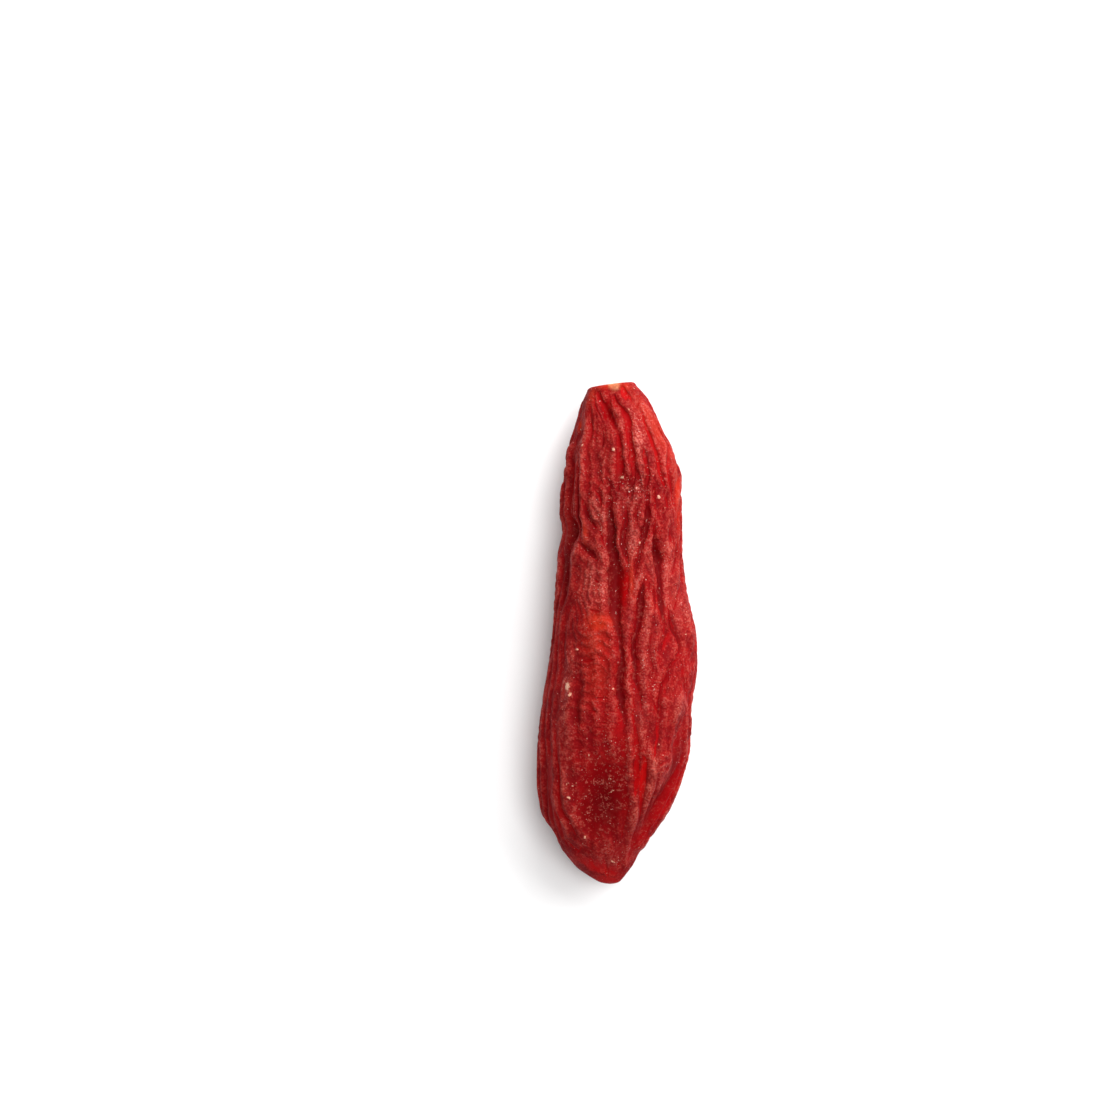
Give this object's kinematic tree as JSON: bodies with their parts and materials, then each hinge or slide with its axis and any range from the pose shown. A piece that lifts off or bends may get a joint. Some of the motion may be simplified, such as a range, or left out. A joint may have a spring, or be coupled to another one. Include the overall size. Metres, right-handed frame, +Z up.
{
  "type": "dried goji berry",
  "caption": "Dried goji berry lying on its back: a long wrinkled fruit, cut square at the stem end and pointed at the tip, on a small pressed flat spot.",
  "frame": {"origin": "centre of the berry's box, on the level surface that it lies on", "axes": "+Y along the berry from the tip to the stem end, +Z up through the grooved face, +X to the right seen from above"},
  "size_m": [0.0064, 0.0201, 0.0052],
  "materials": {
    "dried_skin": "dry wrinkled fruit skin, pale and dull on the folds, glossy deep red in the creases"
  },
  "bodies": {
    "root": {"goji_berry": "dried_skin"}
  },
  "joints": []
}
